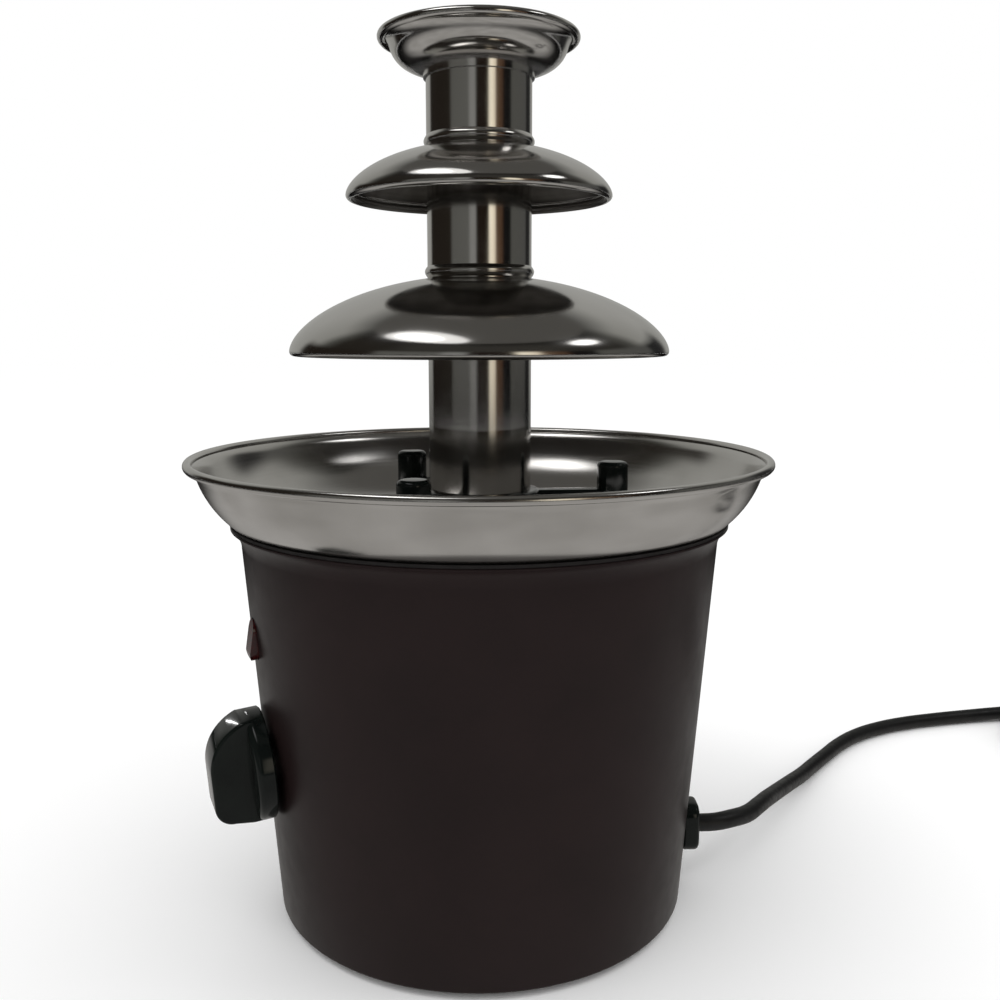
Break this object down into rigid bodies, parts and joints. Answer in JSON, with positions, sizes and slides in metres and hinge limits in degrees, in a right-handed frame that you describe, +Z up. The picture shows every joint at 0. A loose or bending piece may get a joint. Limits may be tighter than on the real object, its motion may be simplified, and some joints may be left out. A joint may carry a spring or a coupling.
{
  "type": "chocolate fountain",
  "caption": "Table-top chocolate fountain: heated steel bowl on a tapered plastic base, tiered tower with domes and a top cup, auger drive, control knob and mains cord.",
  "frame": {"origin": "on the table under the tower's axis", "axes": "+Z up along the tower; the front faces -Y; the cord leaves towards +X"},
  "size_m": [0.533, 0.2775, 0.2987],
  "materials": {
    "brown_plastic": "satin, fine grain",
    "black_rubber": "matte",
    "satin_steel": "satin, turned",
    "polished_steel": "mirror polish",
    "shaft_steel": "ground",
    "zinc_steel": "zinc plated",
    "cast_aluminium": "die cast",
    "lamination": "stacked laminations",
    "brass": "turned",
    "white_plastic": "moulded",
    "seal_rubber": "matte",
    "black_plastic": "gloss",
    "red_lens": "clear tint",
    "cord_sheath": "satin",
    "tie_plastic": "satin"
  },
  "bodies": {
    "base": {"housing": "brown_plastic", "bowl_gasket": "black_rubber", "bottom_cover": "brown_plastic", "cover_screws": "zinc_steel", "rubber_feet": "black_rubber", "bowl": "satin_steel", "bowl_studs": "zinc_steel", "stud_spacers": "zinc_steel", "stud_nuts": "zinc_steel", "heater_plate": "cast_aluminium", "heater_element": "zinc_steel", "thermal_cutout": "white_plastic", "shaft_bush": "brass", "bush_nut": "brass", "shaft_seal": "seal_rubber", "motor_bracket": "zinc_steel", "bracket_screws": "zinc_steel", "gearbox_cover": "white_plastic", "gearbox_case": "white_plastic", "gearbox_screws": "zinc_steel", "motor_flange": "zinc_steel", "motor_can": "zinc_steel", "motor_screws": "zinc_steel", "stator": "lamination", "motor_bearings": "brass", "rotary_switch": "white_plastic", "switch_nut": "zinc_steel", "lamp_lens": "red_lens", "lamp_body": "white_plastic", "terminal_block": "white_plastic", "inner_cord": "cord_sheath", "strain_relief": "black_plastic", "cord_free": "cord_sheath", "cord_coil": "cord_sheath", "cord_tie": "tie_plastic", "plug_body": "black_plastic", "plug_pins": "brass"},
    "drive": {"drive_shaft": "shaft_steel", "drive_gear": "white_plastic"},
    "rotor": {"motor_shaft": "shaft_steel", "rotor_core": "lamination", "motor_pinion": "brass"},
    "auger": {"auger": "white_plastic"},
    "lower_tier": {"tower_foot": "black_plastic", "lower_tube": "polished_steel", "large_dome": "polished_steel"},
    "middle_tier": {"middle_tube": "polished_steel", "small_dome": "polished_steel"},
    "top_tier": {"upper_tube": "polished_steel", "top_cup": "polished_steel"},
    "knob": {"control_knob": "black_plastic", "switch_shaft": "zinc_steel"}
  },
  "joints": [
    {"name": "drive_spin", "type": "hinge", "parent": "base", "child": "drive", "pos_m": [0, 0, 0.1], "axis": [0, 0, 1], "continuous": true},
    {"name": "motor_spin", "type": "hinge", "parent": "base", "child": "rotor", "pos_m": [0.014, 0.02425, 0.07], "axis": [0, 0, 1], "continuous": true},
    {"name": "knob_turn", "type": "hinge", "parent": "base", "child": "knob", "pos_m": [-0.07117, -0.02875, 0.06], "axis": [0.9246, 0.3736, 0.075], "range_deg": [0, 90]},
    {"name": "auger_lift", "type": "slide", "parent": "drive", "child": "auger", "axis": [0, 0, 1], "range_m": [0, 0.17]},
    {"name": "lower_tier_lift", "type": "slide", "parent": "base", "child": "lower_tier", "axis": [0, 0, 1], "range_m": [0, 0.16]},
    {"name": "middle_tier_lift", "type": "slide", "parent": "lower_tier", "child": "middle_tier", "axis": [0, 0, 1], "range_m": [0, 0.09]},
    {"name": "top_tier_lift", "type": "slide", "parent": "middle_tier", "child": "top_tier", "axis": [0, 0, 1], "range_m": [0, 0.05]}
  ],
  "couplings": [
    {"joint": "drive_spin", "follows": "motor_spin", "ratio": -0.25}
  ]
}
